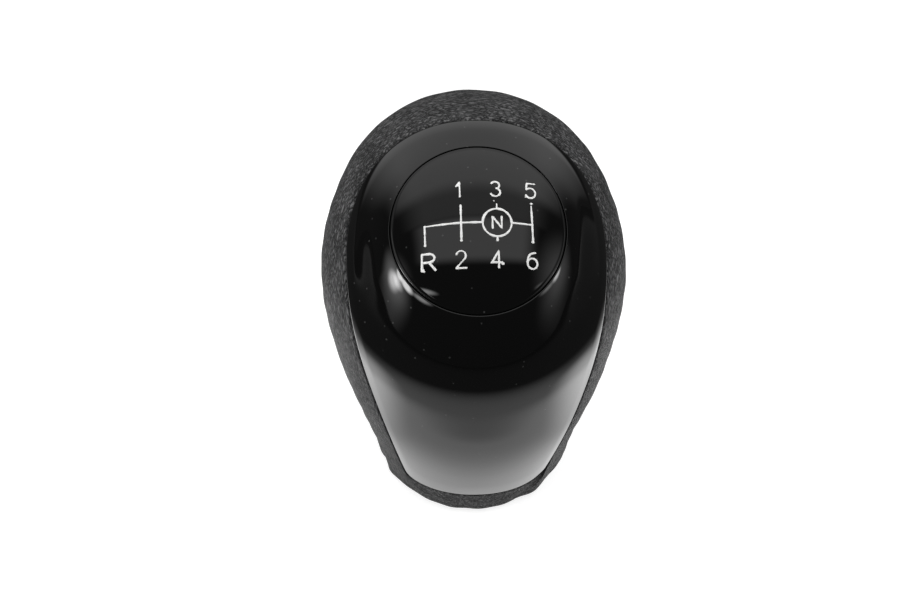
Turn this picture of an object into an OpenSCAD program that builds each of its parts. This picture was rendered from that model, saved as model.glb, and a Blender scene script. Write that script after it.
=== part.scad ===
// Gear shift knob with a leather skin, a gloss front trim and a round pattern disc.
// Frame: the lever axis is Z, the base stands on z = 0 and the front faces -Y.
// Surface points are worked out as [side, reach, height], where reach is positive to the front.

/* [Head] */
// Full width of the head across its sides
head_w = 52.4; // [48:0.1:57]
// Height at which the head is widest
wide_z = 38; // [34:0.5:42]
// Radius of the dome, seen from the side
dome_r = 34.4; // [33:0.2:36]
// Distance of the dome's centre behind the lever axis
dome_back = 10; // [8:0.5:12]
// Height of the dome's centre above the base
dome_z = 29.3; // [27:0.1:32]
// Reach of the front belly from the lever axis
belly_reach = 24; // [22:0.5:26]
// Height of the front belly
belly_z = 25; // [22:0.5:28]
// Radius of curvature of the front belly
belly_r = 18; // [14:0.5:24]
// Reach of the palm side from the lever axis
palm_reach = 36.4; // [34:0.2:38]
// Height of the fullest part of the palm side
palm_z = 44; // [41:0.5:47]
// Radius of curvature of the palm side
palm_r = 26; // [20:1:34]

/* [Neck] */
// Radius of the neck at the base
neck_r = 15.9; // [15:0.1:18]
// Gain in reach for each millimetre of height at the front of the neck
flare_front = 0.4; // [0.2:0.05:0.6]
// Gain in half width for each millimetre of height at the side of the neck
flare_side = 0.21; // [0.15:0.01:0.35]
// Radius of the hollow in the side of the neck, just above the base
neck_side_r = 70; // [40:5:100]
// Gain in reach for each millimetre of height at the back of the neck
flare_back = 0.7; // [0.5:0.05:0.9]

/* [Pattern disc] */
// Diameter of the disc
disc_d = 29.2; // [27:0.1:33]
// Radius of the disc's domed face
disc_dome_r = 28.8; // [24:0.2:40]
// Height of the disc's straight side
disc_edge_t = 1.5; // [1.2:0.1:2.2]
// Rounding of the disc's rim
disc_edge_r = 0.35; // [0.2:0.05:0.6]
// Lean of the disc's face, upwards from level
disc_lean = 63.9; // [60:0.1:69]
// Gap round the disc in its recess
disc_gap = 0.25; // [0.2:0.05:0.6]
// Thickness of the adhesive ring under the disc
tape_t = 0.3; // [0.2:0.05:0.6]
// Width of the adhesive ring
tape_w = 3.8; // [3:0.2:5]
// Distance of the adhesive ring from the disc's rim
tape_inset = 0.5; // [0.3:0.1:1]

/* [Front trim] */
// Wall of the trim
trim_t = 2.2; // [1.8:0.1:2.8]
// Height by which the trim stands proud of the skin
trim_proud = 0.3; // [0.1:0.05:0.6]
// Rounding of the trim's border
trim_edge_r = 1.6; // [1:0.1:2]
// Gap between the border of the trim and the skin
trim_gap = 0.3; // [0.2:0.05:0.5]
// Upward lean of the direction in which the trim is fitted
fit_lean = 46.5; // [44:0.5:49]
// Half width of the trim's outline
outline_w = 22.1; // [20.5:0.1:23]
// Position of the outline's widest line, square to the fitting direction
outline_mid = 32; // [28:0.5:34]
// Position of the outline's top
outline_top = 55.7; // [55:0.1:57]
// Position of the outline's bottom edge
outline_low = -8.7; // [-9:0.1:-7]
// Half width at which the flanks of the outline would meet its bottom edge
outline_foot = 10; // [8:0.25:12]
// Height of the rounded corners at the outline's bottom
outline_corner = 4.6; // [4:0.1:6.5]
// Thickness of the floor under the disc
floor_t = 1.6; // [1.2:0.1:2]

/* [Trim fasteners] */
// Distance of each trim screw's axis from the disc's rim
screw_inset = 7; // [6.5:0.25:9]
// Diameter of a screw's shank
screw_d = 2.2; // [2:0.1:2.6]
// Diameter of a screw's head
screw_head_d = 4.4; // [4:0.1:5]
// Height of a screw's countersunk head
screw_head_h = 1.2; // [1:0.05:1.4]
// Length of a screw below its head
screw_len = 9; // [7:0.5:11]
// Width of a snap hook
hook_w = 5; // [4:0.25:6]
// Thickness of a snap hook
hook_t = 1.6; // [1.2:0.1:2]
// Length of a snap hook inside the trim's wall
hook_len = 6.5; // [6:0.25:7.5]
// Depth of a hook's barb
hook_barb = 0.7; // [0.5:0.05:0.9]
// Sideways place of the flank hooks
hook_side = 15.5; // [14.5:0.25:16.5]
// Place of the flank hooks along the outline's height
hook_side_v = 16; // [13:0.5:20]
// Sideways place of the foot hooks
hook_foot = 6; // [5:0.25:7]
// Place of the foot hooks along the outline's height
hook_foot_v = 1; // [0:0.25:3]

/* [Core] */
// Width of a moulding pocket in the core
pocket_w = 7.2; // [6:0.2:8]
// Height of a moulding pocket in the core
pocket_h = 7; // [5.5:0.25:8]
// Thickness of the ribs between the pockets
rib_t = 1.6; // [1.4:0.1:2.4]
// Wall round the metal bush
boss_wall = 2; // [1.6:0.1:2.6]
// Place of the lowest row of pockets along the outline's height
pocket_low = 3.5; // [3:0.25:4.5]
// Floor of the pockets below the disc, square to the fitting direction
pocket_floor = 16; // [14:0.5:19]
// Floor of the pockets behind the disc
pocket_floor_high = 28; // [25:0.5:30]

/* [Leather skin] */
// Thickness of the leather
leather_t = 1.2; // [0.9:0.1:1.5]
// Gap between the leather and the core
leather_gap = 0.2; // [0.1:0.05:0.3]
// Depth to which the leather's edge dips beside the trim
tuck_depth = 0.8; // [0.4:0.1:1.1]
// Radius of the turned-in hem at the base
hem_r = 1.9; // [1.7:0.1:2.6]
// Width of the flat lip that the base ring traps
hem_lip = 2.2; // [1.5:0.1:3]

/* [Lever thread] */
// Diameter of the hole before the thread is cut
thread_d = 8.75; // [8:0.05:11]
// Depth of the threaded hole
thread_len = 24; // [20:0.5:28]
// Outer diameter of the metal bush
insert_d = 14; // [13:0.25:16]
// Metal above the end of the hole
insert_cap = 3; // [2.5:0.25:4]
// Depth of the drilled tip above the end of the hole
insert_tip = 2; // [1:0.25:2]
// Depth of the grooves that lock the bush in the core
insert_groove = 0.6; // [0.4:0.1:0.9]
// Width of a locking groove
insert_groove_w = 3; // [2:0.25:4]

/* [Base ring] */
// Thickness of the ring's flange
ring_t = 1; // [0.8:0.1:1.4]
// Wall of the sleeve that is pressed into the core
sleeve_wall = 2.85; // [2:0.05:3.2]
// Gap between the sleeve and the skin's lip
lip_gap = 0.5; // [0.3:0.1:1]
// Height of the sleeve above the flange
sleeve_h = 5; // [4:0.25:7]
// Clearance of rigid pieces in the core
fit_gap = 0.15; // [0.1:0.05:0.25]

/* [Hidden] */
$fn = 96;
SMALL = 0.01;

// Samples round the outline, counted on one half from the top to the bottom
crown_steps = 15;
flank_steps = 8;
foot_steps = 6;
half_steps = crown_steps + flank_steps + foot_steps;
round_steps = 2 * half_steps;
skin_steps = 18;
hem_steps = 4;
panel_steps = 5;
dome_steps = 12;
bisections = 26;

top_z = dome_z + dome_r;
// Point inside the head from which wall thicknesses are measured
heart_back = 6;
heart_z = 34;
heart = [0, -heart_back, heart_z];
// Every ray from the heart starts this far along, still well inside the head
heart_clear = 5;
// Heights above the dome's centre at which it takes over from the front and from the palm side
front_rise = 14.6;
palm_rise = 24.6;
front_join = dome_z + front_rise;
palm_join = dome_z + palm_rise;

function station(z, value, slope, bend) = [z, value, slope, bend];
function dome_station(z, side) =
    let (h = z - dome_z, r = sqrt(dome_r * dome_r - h * h))
    station(z, side * r - dome_back, -side * h / r, -side * dome_r * dome_r / pow(r, 3));

// Curve between two stations that keeps the value, slope and bend of both
function ease(z, a, b) =
    let (h = b[0] - a[0], t = (z - a[0]) / h, t3 = pow(t, 3), t4 = pow(t, 4), t5 = pow(t, 5))
    a[1] * (1 - 10 * t3 + 15 * t4 - 6 * t5)
    + a[2] * h * (t - 6 * t3 + 8 * t4 - 3 * t5)
    + a[3] * h * h * (0.5 * t * t - 1.5 * t3 + 1.5 * t4 - 0.5 * t5)
    + b[1] * (10 * t3 - 15 * t4 + 6 * t5)
    + b[2] * h * (-4 * t3 + 7 * t4 - 3 * t5)
    + b[3] * h * h * (0.5 * t3 - t4 + 0.5 * t5);

belly = station(belly_z, belly_reach, 0, -1 / belly_r);
palm = station(palm_z, -palm_reach, 0, 1 / palm_r);
side_wide = station(wide_z, head_w / 2, 0, -head_w / 2 / pow(top_z - wide_z, 2));

function dome_half(z) = sqrt(max(0, dome_r * dome_r - pow(z - dome_z, 2)));
function front_reach(z) =
    z >= front_join ? dome_half(z) - dome_back
    : z >= belly_z ? ease(z, belly, dome_station(front_join, 1))
    : ease(z, station(0, neck_r, flare_front, 0), belly);
function back_reach(z) =
    z >= palm_join ? -dome_half(z) - dome_back
    : z >= palm_z ? ease(z, palm, dome_station(palm_join, -1))
    : ease(z, station(0, -neck_r, -flare_back, 0), palm);
function half_width(z) =
    z >= wide_z ? head_w / 2 * sqrt(max(0, 1 - pow((z - wide_z) / (top_z - wide_z), 2)))
    : ease(z, station(0, neck_r, flare_side, 1 / neck_side_r), side_wide);

// Each level section is an ellipse, so this is below 1 inside the head
function section_value(p) =
    p[2] >= top_z ? 4
    : let (z = max(p[2], 0), f = front_reach(z), b = back_reach(z))
      pow(p[0] / half_width(z), 2) + pow((p[1] - (f + b) / 2) / ((f - b) / 2), 2);
// Distance from a start point to the skin along a direction
function reach_to_skin(start, way, near, far, n) =
    let (mid = (near + far) / 2)
    n == 0 ? mid
    : section_value(start + mid * way) < 1 ? reach_to_skin(start, way, mid, far, n - 1)
    : reach_to_skin(start, way, near, mid, n - 1);

// Directions of the trim's fitting plane: outwards and upwards
out_way = [0, cos(fit_lean), sin(fit_lean)];
up_way = [0, -sin(fit_lean), cos(fit_lean)];
function on_plane(q) = [q[0], 0, 0] + q[1] * up_way;
plane_inside = 0.75 * neck_r;
function skin_under(q) =
    on_plane(q) + out_way * reach_to_skin(on_plane(q), out_way, plane_inside, 2 * dome_r, bisections);
function skin_towards(way) =
    heart + way * reach_to_skin(heart, way, heart_clear, 2 * dome_r, bisections);
function unit(p) = p / norm(p);
function outwards(p) = unit(p - heart);
function deeper(p, t) = p - t * outwards(p);
function mix(a, b, t) = a + (b - a) * t;
function smooth(t) = let (c = min(1, max(0, t))) c * c * (3 - 2 * c);

// Outline of the trim on its fitting plane: powers of 2 would give plain ellipses
crown_power = 2.2;
flank_power = 2.1;
flank_swell = 0.4;
function rounded(c) = pow(max(c, 0), 2 / crown_power);
outline_len = outline_mid - outline_low;
foot_start = 1 - outline_corner / outline_len;
function flank(q) =
    outline_w - (outline_w - outline_foot) * pow(q, flank_power) * (1 + flank_swell * q * (1 - q));
function foot(q) =
    flank(q) * pow(max(0, 1 - pow(max(0, (q - foot_start) / (1 - foot_start)), crown_power)), 1 / crown_power);
function half_outline(i) =
    i <= crown_steps ?
        let (a = 90 * (1 - i / crown_steps))
        [outline_w * rounded(cos(a)), outline_mid + (outline_top - outline_mid) * rounded(sin(a))]
    : i <= crown_steps + flank_steps ?
        let (q = foot_start * (i - crown_steps) / flank_steps)
        [flank(q), outline_mid - q * outline_len]
    : let (u = sin(90 * (i - crown_steps - flank_steps) / foot_steps), q = mix(foot_start, 1, u))
      [foot(q), outline_mid - q * outline_len];
function outline_point(i) =
    let (k = (i + round_steps) % round_steps)
    k <= half_steps ? half_outline(k)
    : let (p = half_outline(round_steps - k)) [-p[0], p[1]];
function outline_out(i) =
    let (t = outline_point(i + 1) - outline_point(i - 1)) [-t[1], t[0]] / norm(t);
function outline(i, grow) = outline_point(i) + grow * outline_out(i);

// Pattern disc: centre of its rim, its axis and its two cross directions
disc_r = disc_d / 2;
recess_r = disc_r + disc_gap;
disc_axis = [0, cos(disc_lean), sin(disc_lean)];
disc_up = [0, -sin(disc_lean), cos(disc_lean)];
disc_mid = [0, -dome_back, dome_z] + disc_axis * sqrt(dome_r * dome_r - disc_r * disc_r);
function rim_angle(i) =
    let (k = i <= half_steps ? i : round_steps - i, p = half_outline(k),
         v = disc_mid * up_way, even = 180 * k / half_steps, radial = atan2(p[0], p[1] - v),
         a = (even + radial) / 2)
    i <= half_steps ? a : -a;
function rim_point(i, r, depth) =
    let (a = rim_angle(i)) disc_mid + r * (sin(a) * [1, 0, 0] + cos(a) * disc_up) - depth * disc_axis;
function rim_on_plane(i) = let (p = rim_point(i, recess_r, 0)) [p[0], p * up_way];
floor_depth = disc_edge_t + tape_t;
wall_depth = floor_depth + floor_t;
// Wall at the foot of the recess
recess_wall = 0.8;
floor_r = recess_r + recess_wall;

// Trim surface: k counts rings from the rim of the recess to the border
// The first rings lie closer together, at these shares of their reach
rim_reach = 3.6;
rim_share = [0, 0.15, 0.35, 0.6, 1];
near_steps = len(rim_share) - 1;
trim_rings = near_steps + panel_steps;
// Spans below which the rings near the recess and near the seat of the core close up
panel_room = 14;
under_room = 6;
// Length over which the panel eases from the rim of the recess into the head
fade_len = 9;
function span_at(i) = norm(outline(i, 0) - rim_on_plane(i));
function fade_span(i) = min(fade_len, 0.8 * span_at(i));
function rim_distance(i, k) =
    let (span = span_at(i), reach = rim_reach * min(1, span / panel_room))
    k <= near_steps ? rim_share[k] * reach
    : mix(reach, span - trim_edge_r, (k - near_steps) / panel_steps);
// The rim of the recess is round, so the panel is drawn up to it and eases back into the head
function lift(i) =
    let (q = rim_on_plane(i)) rim_point(i, recess_r, 0) - skin_under(q) - trim_proud * outwards(skin_under(q));
function panel_point(i, d) =
    let (q = rim_on_plane(i), way = unit(outline(i, 0) - q), p = skin_under(q + d * way),
         fade = 1 - smooth(d / fade_span(i)))
    p + fade * lift(i) + trim_proud * outwards(p);

// Two triangles on a four-sided field, split along its shorter diagonal
function quad(points, a, b, c, d) =
    norm(points[a] - points[c]) <= norm(points[b] - points[d]) ? [[a, c, b], [a, d, c]]
    : [[a, d, b], [b, d, c]];

// Solid between rings that close on themselves, as a shell with a hole through it
module closed_rings(rings) {
    n = len(rings[0]);
    m = len(rings);
    points = [for (ring = rings) for (p = ring) [p[0], -p[1], p[2]]];
    faces = [for (j = [0 : m - 1]) for (i = [0 : n - 1])
        let (k = (j + 1) % m, h = (i + 1) % n)
        each quad(points, j * n + i, j * n + h, k * n + h, k * n + i)];
    polyhedron(points, faces);
}

// Solid between rings that ends in a flat face at the first and the last ring
module capped_rings(rings) {
    n = len(rings[0]);
    m = len(rings);
    points = [for (ring = rings) for (p = ring) [p[0], -p[1], p[2]]];
    sides = [for (j = [0 : m - 2]) for (i = [0 : n - 1])
        let (k = j + 1, h = (i + 1) % n)
        each quad(points, j * n + i, j * n + h, k * n + h, k * n + i)];
    first = [for (i = [0 : n - 1]) i];
    last = [for (i = [n - 1 : -1 : 0]) (m - 1) * n + i];
    polyhedron(points, concat([first], sides, [last]));
}

// Distances from the recess for the rings on the back of the trim and on the core below it
under_gap = 2;
under_steps = 6;
function under_distance(i, j) =
    mix(under_gap * min(1, span_at(i) / under_room), span_at(i), j / under_steps);

// The wall is measured along the disc's axis at the recess and away from the heart at the border
function panel_way(i, d, p) =
    let (w = smooth((d - under_distance(i, 0)) / fade_span(i)))
    unit(mix(disc_axis, outwards(p), w));
function panel_inner(i, d, t) = let (p = panel_point(i, d)) p - t * panel_way(i, d, p);

module on_disc(depth = 0) {
    translate([0, -disc_mid[1], disc_mid[2]])
        rotate([90 - disc_lean, 0, 0])
            translate([0, 0, -depth])
                children();
}

// Skin paths run from the border of the trim round the head to the hem
hem_top = ring_t + hem_r;
function base_angle(i) = 180 * i / half_steps;
function base_point(i, z) =
    let (a = base_angle(i), f = front_reach(z), b = back_reach(z))
    [half_width(z) * sin(a), (f + b) / 2 - (f - b) / 2 * cos(a), z];
function base_way(i) = let (a = base_angle(i)) [sin(a), -cos(a), 0];
function swing(a, b, t) =
    let (w = acos(min(1, a * b))) (sin((1 - t) * w) * a + sin(t * w) * b) / sin(w);
function skin_path(i, t) =
    let (a = outwards(skin_under(outline(i, trim_gap))), b = outwards(base_point(i, hem_top)))
    skin_towards(swing(a, b, t));
// Shares of their reach at which the first rings follow the edge of the skin, and how deep each dips
edge_reach = 2.6;
edge_share = [0, 0.27, 0.58, 1];
edge_dip = [1, 0.3, 0.05, 0];
// Path length below which these rings close up
edge_room = 8;
function edge_squeeze(i) = min(1, path_len(i) / edge_room);
function path_len(i) =
    let (a = outwards(skin_under(outline(i, trim_gap))), b = outwards(base_point(i, hem_top)))
    acos(min(1, a * b)) * PI / 180 * norm(skin_under(outline(i, trim_gap)) - heart);
function path_share(i, k) =
    let (first = edge_reach * edge_squeeze(i) / path_len(i), edge = len(edge_share) - 1)
    k <= edge ? edge_share[k] * first
    : mix(first, 1, (k - edge) / (skin_steps - edge));
function hem_point(i, a, t) =
    base_point(i, hem_top) - (hem_r - (hem_r - t) * cos(a)) * base_way(i) - [0, 0, (hem_r - t) * sin(a)];

every = [0 : round_steps - 1];
ring_bore_r = insert_d / 2 + fit_gap;
sleeve_r = ring_bore_r + sleeve_wall;
lip_r = sleeve_r + lip_gap;
ring_r = lip_r + hem_lip;
hem_angles = [for (j = [0 : hem_steps]) 90 * j / hem_steps];
function skin_ring(k) = [for (i = every) skin_path(i, path_share(i, k))];
function sunk(ring, t) = [for (p = ring) deeper(p, t)];
function hem_ring(a, t) = [for (i = every) hem_point(i, a, t)];
function lip_ring(z) = [for (i = every) let (w = base_way(i)) [lip_r * w[0], lip_r * w[1], z]];
function dip(k) = k < len(edge_dip) ? edge_dip[k] * tuck_depth : 0;

module leather_cover() {
    skin = [for (k = [0 : skin_steps - 1]) skin_ring(k)];
    outer = [for (k = [0 : skin_steps - 1]) [for (i = every)
        deeper(skin[k][i], dip(k) * edge_squeeze(i))]];
    inner = [for (k = [skin_steps - 1 : -1 : 0]) sunk(skin[k], leather_t)];
    hem_outer = [for (a = hem_angles) hem_ring(a, 0)];
    hem_inner = [for (j = [hem_steps : -1 : 0]) hem_ring(hem_angles[j], leather_t)];
    lip = [lip_ring(ring_t), lip_ring(ring_t + leather_t)];
    color([0.13, 0.13, 0.14])
        closed_rings(concat(outer, hem_outer, lip, hem_inner, inner));
}

// Hook outline in the plane of its bend, grown for the pocket that takes it
hook_tip = 2.6;
module hook_shape(grow) {
    polygon([
        [-grow, 0],
        [-grow, -hook_len - grow],
        [hook_t + grow, -hook_len - grow],
        [hook_t + hook_barb + grow, -hook_len + hook_tip / 2],
        [hook_t + hook_barb + grow, -hook_len + hook_tip + grow],
        [hook_t + grow, -hook_len + hook_tip + grow],
        [hook_t + grow, 0]
    ]);
}

// Hooks stand along the fitting direction, with their barbs towards the border of the trim
hook_places = [[hook_side, hook_side_v, 0], [-hook_side, hook_side_v, 180],
               [hook_foot, hook_foot_v, -90], [-hook_foot, hook_foot_v, -90]];
hook_root = 1.1;
function reach_out(q) = reach_to_skin(on_plane(q), out_way, plane_inside, 2 * dome_r, bisections);
// A hook starts below the lowest of the skin points over its own corners
function hook_start(x, v) =
    let (r = hook_w / 2)
    min([for (a = [-r, r]) for (b = [-r, r]) reach_out([x + a, v + b])]) - hook_root;
module hooks(grow) {
    for (place = hook_places) {
        p = on_plane([place[0], place[1]]) + hook_start(place[0], place[1]) * out_way;
        translate([p[0], -p[1], p[2]])
            rotate([90 - fit_lean, 0, 0])
                rotate([0, 0, place[2]])
                    rotate([90, 0, 0])
                        linear_extrude(hook_w + 2 * grow, center = true)
                            hook_shape(grow);
    }
}

module front_trim() {
    recess = [for (t = [floor_depth, 0]) [for (i = every) rim_point(i, recess_r, t)]];
    face = [for (k = [1 : trim_rings]) [for (i = every) panel_point(i, rim_distance(i, k))]];
    border = [for (a = [30, 60, 90]) [for (i = every)
        let (d = span_at(i) - trim_edge_r * (1 - sin(a)))
        deeper(panel_point(i, d), trim_edge_r * (1 - cos(a)))]];
    back = [for (j = [under_steps : -1 : 0]) [for (i = every)
        panel_inner(i, under_distance(i, j), trim_t)]];
    underside = [[for (i = every) rim_point(i, floor_r, wall_depth)]];
    color([0.02, 0.02, 0.022])
        difference() {
            union() {
                capped_rings(concat(recess, face, border, back, underside));
                hooks(0);
            }
            at_screws()
                screw_cut(fit_gap);
        }
}

screw_off = disc_r - screw_inset;
module at_screws() {
    on_disc(floor_depth)
        for (side = [-1, 1])
            translate([side * screw_off, 0, 0])
                children();
}

module screw_cut(grow) {
    translate([0, 0, -screw_head_h])
        cylinder(h = screw_head_h + SMALL, r1 = screw_d / 2 + grow, r2 = screw_head_d / 2 + grow);
    translate([0, 0, -screw_len - screw_head_h - grow])
        cylinder(h = screw_len + screw_head_h + grow, r = screw_d / 2 + grow);
}

module trim_screws() {
    color([0.7, 0.7, 0.72])
        at_screws()
            screw();
}

slot_w = 0.6;
slot_depth = 0.5;
// Clearance of a screw in its pilot hole
pilot_gap = 0.05;
module screw() {
    difference() {
        union() {
            translate([0, 0, -screw_head_h])
                cylinder(h = screw_head_h, r1 = screw_d / 2, r2 = screw_head_d / 2);
            translate([0, 0, -screw_len - screw_head_h])
                cylinder(h = screw_len + SMALL, r = screw_d / 2);
        }
        for (turn = [0, 90])
            rotate([0, 0, turn])
                translate([0, 0, -slot_depth / 2 + SMALL])
                    cube([screw_head_d * 0.6, slot_w, slot_depth], center = true);
    }
}

module pattern_disc() {
    below = sqrt(disc_dome_r * disc_dome_r - disc_r * disc_r);
    half_angle = asin((disc_r - disc_edge_r) / disc_dome_r);
    face = [for (j = [0 : dome_steps])
        let (a = half_angle * j / dome_steps) [disc_dome_r * sin(a), disc_dome_r * cos(a) - below]];
    color([0.02, 0.02, 0.022])
        on_disc()
            rotate_extrude()
                polygon(concat([[0, -disc_edge_t]], face,
                    [[disc_r, -disc_edge_r], [disc_r, -disc_edge_t]]));
}

module disc_tape() {
    r = disc_r - tape_inset;
    color([0.85, 0.85, 0.83])
        on_disc(floor_depth)
            difference() {
                cylinder(h = tape_t, r = r);
                translate([0, 0, -SMALL])
                    cylinder(h = tape_t + 2 * SMALL, r = r - tape_w);
            }
}

insert_h = thread_len + insert_cap;
module thread_insert() {
    r = insert_d / 2;
    grooves = [for (j = [1, 2]) let (z = insert_h * j / 3)
        each [[r, z - insert_groove_w / 2], [r - insert_groove, z - insert_groove_w / 2],
              [r - insert_groove, z + insert_groove_w / 2], [r, z + insert_groove_w / 2]]];
    color([0.78, 0.66, 0.35])
        rotate_extrude()
            polygon(concat([[thread_d / 2, 0], [r, 0]], grooves,
                [[r, insert_h], [0, insert_h], [0, thread_len + insert_tip], [thread_d / 2, thread_len]]));
}

module base_ring() {
    color([0.05, 0.05, 0.055])
        difference() {
            union() {
                cylinder(h = ring_t, r = ring_r);
                cylinder(h = ring_t + sleeve_h, r = sleeve_r);
            }
            translate([0, 0, -SMALL])
                cylinder(h = ring_t + sleeve_h + 2 * SMALL, r = ring_bore_r);
        }
}

module in_fit_frame() {
    rotate([90 - fit_lean, 0, 0])
        children();
}

module pocket(column, row, base) {
    translate([column * (pocket_w + rib_t) - pocket_w / 2, pocket_low + row * (pocket_h + rib_t), base])
        cube([pocket_w, pocket_h, 2 * dome_r]);
}

// The moulding pockets leave ribs between them and a wall round the bush
module core_pockets() {
    difference() {
        in_fit_frame() {
            for (column = [-1 : 1])
                for (row = [0, 1])
                    pocket(column, row, pocket_floor);
            for (row = [3, 4])
                pocket(0, row, pocket_floor_high);
        }
        cylinder(h = insert_h + fit_gap + boss_wall, r = insert_d / 2 + fit_gap + boss_wall);
    }
}

module core() {
    under_t = trim_t + fit_gap;
    seat_r = floor_r + fit_gap;
    under = [for (j = [0 : under_steps]) [for (i = every)
        panel_inner(i, under_distance(i, j), under_t)]];
    step_t = leather_t + leather_gap;
    step = [for (t = [under_t - trim_proud, step_t]) [for (i = every)
        deeper(skin_under(outline(i, trim_gap / 2)), t)]];
    skin = [for (k = [1 : skin_steps - 1]) sunk(skin_ring(k), step_t)];
    hem = [for (a = hem_angles) hem_ring(a, step_t)];
    seat = [[for (i = every) rim_point(i, seat_r, wall_depth + 2 * fit_gap)]];
    color([0.3, 0.3, 0.32])
        difference() {
            capped_rings(concat(seat, under, step, skin, hem));
            translate([0, 0, -SMALL])
                cylinder(h = insert_h + fit_gap, d = insert_d + 2 * fit_gap);
            translate([0, 0, -SMALL])
                cylinder(h = ring_t + sleeve_h + fit_gap, r = sleeve_r + fit_gap);
            hooks(fit_gap);
            core_pockets();
            at_screws()
                screw_cut(pilot_gap);
        }
}

leather_cover();
core();
front_trim();
pattern_disc();
disc_tape();
trim_screws();
thread_insert();
base_ring();
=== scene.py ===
import math

import bmesh
import bpy
import numpy as np
from mathutils import Matrix, Vector


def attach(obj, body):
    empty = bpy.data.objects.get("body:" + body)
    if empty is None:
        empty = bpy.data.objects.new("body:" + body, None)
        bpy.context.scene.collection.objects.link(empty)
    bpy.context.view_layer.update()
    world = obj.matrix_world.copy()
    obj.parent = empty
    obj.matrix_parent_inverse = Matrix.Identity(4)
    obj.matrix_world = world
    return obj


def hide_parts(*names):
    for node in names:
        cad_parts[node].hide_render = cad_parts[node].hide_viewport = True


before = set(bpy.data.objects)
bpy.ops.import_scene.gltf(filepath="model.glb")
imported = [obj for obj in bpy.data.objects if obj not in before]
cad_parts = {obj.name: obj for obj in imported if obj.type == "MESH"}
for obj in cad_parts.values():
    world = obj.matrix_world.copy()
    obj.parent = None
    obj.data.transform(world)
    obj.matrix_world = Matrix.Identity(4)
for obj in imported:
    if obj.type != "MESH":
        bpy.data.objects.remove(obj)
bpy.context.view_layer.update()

MM = 0.001
BODY = "root"
rng = np.random.default_rng(7)

# Driving sizes in millimetres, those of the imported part
HEAD_W = 52.4
WIDE_Z = 38.0
DOME_R = 34.4
DOME_BACK = 10.0
DOME_Z = 29.3
BELLY_REACH = 24.0
BELLY_Z = 25.0
BELLY_R = 18.0
PALM_REACH = 36.4
PALM_Z = 44.0
PALM_R = 26.0
NECK_R = 15.9
FLARE_FRONT = 0.4
FLARE_SIDE = 0.21
FLARE_BACK = 0.7
NECK_SIDE_R = 70.0
DISC_R = 14.6
DISC_DOME_R = 28.8
DISC_EDGE_T = 1.5
DISC_LEAN = 63.9
DISC_GAP = 0.25
TAPE_T = 0.3
FLOOR_T = 1.6
TRIM_T = 2.2
TRIM_PROUD = 0.3
FIT_LEAN = 46.5
OUTLINE_W = 22.1
OUTLINE_MID = 32.0
OUTLINE_TOP = 55.7
OUTLINE_LOW = -8.7
OUTLINE_FOOT = 10.0
OUTLINE_CORNER = 4.6
CROWN_POWER = 2.2
LEATHER_T = 1.2
HEM_R = 1.9
HEM_LIP = 2.2
RING_D = 25.4
RING_T = 1.0
THREAD_R = 4.375
THREAD_LEN = 24.0
INSERT_R = 7.0
INSERT_H = 27.0

# Edges and seams in millimetres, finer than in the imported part, as the photograph shows them
DISC_EDGE_R = 0.3
DISC_BEAD = 0.13
TRIM_EDGE_R = 0.4
TRIM_ROLL = 1.5
TRIM_ROLL_DROP = 0.14
TRIM_GAP = 0.16
TUCK_DEPTH = 0.42
TUCK_W = 0.9
# The photographed skin laps further over the trim's left flank
LEFT_LAP = 0.45

TOP_Z = DOME_Z + DOME_R
HEART = np.array([0.0, -6.0, 34.0])
FRONT_JOIN = DOME_Z + 14.6
PALM_JOIN = DOME_Z + 24.6
PLANE_INSIDE = 0.75 * NECK_R


def unit(p):
    return p / np.linalg.norm(p, axis=-1, keepdims=True)


def smooth(t):
    """Step from 0 to 1 that keeps slope and bend continuous."""
    c = np.clip(t, 0.0, 1.0)
    return c ** 3 * (c * (6 * c - 15) + 10)


def lean_way(angle):
    a = math.radians(angle)
    return np.array([0.0, math.cos(a), math.sin(a)]), np.array([0.0, -math.sin(a), math.cos(a)])


OUT_WAY, UP_WAY = lean_way(FIT_LEAN)
DISC_AXIS, DISC_UP = lean_way(DISC_LEAN)
SIDE_WAY = np.array([1.0, 0.0, 0.0])


# Surface of the head: points are [side, reach to the front, height]
def dome_station(z, side):
    h = z - DOME_Z
    r = math.sqrt(DOME_R ** 2 - h ** 2)
    return z, side * r - DOME_BACK, -side * h / r, -side * DOME_R ** 2 / r ** 3


def ease(z, a, b):
    """Curve between two stations that keeps the value, slope and bend of both."""
    h = b[0] - a[0]
    t = (z - a[0]) / h
    t3, t4, t5 = t ** 3, t ** 4, t ** 5
    return (a[1] * (1 - 10 * t3 + 15 * t4 - 6 * t5)
            + a[2] * h * (t - 6 * t3 + 8 * t4 - 3 * t5)
            + a[3] * h * h * (0.5 * t * t - 1.5 * t3 + 1.5 * t4 - 0.5 * t5)
            + b[1] * (10 * t3 - 15 * t4 + 6 * t5)
            + b[2] * h * (-4 * t3 + 7 * t4 - 3 * t5)
            + b[3] * h * h * (0.5 * t3 - t4 + 0.5 * t5))


BELLY = (BELLY_Z, BELLY_REACH, 0.0, -1 / BELLY_R)
PALM = (PALM_Z, -PALM_REACH, 0.0, 1 / PALM_R)
SIDE_WIDE = (WIDE_Z, HEAD_W / 2, 0.0, -HEAD_W / 2 / (TOP_Z - WIDE_Z) ** 2)


def dome_half(z):
    return np.sqrt(np.maximum(0, DOME_R ** 2 - (z - DOME_Z) ** 2))


def front_reach(z):
    low = ease(z, (0, NECK_R, FLARE_FRONT, 0), BELLY)
    mid = ease(z, BELLY, dome_station(FRONT_JOIN, 1))
    return np.where(z >= FRONT_JOIN, dome_half(z) - DOME_BACK, np.where(z >= BELLY_Z, mid, low))


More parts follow.
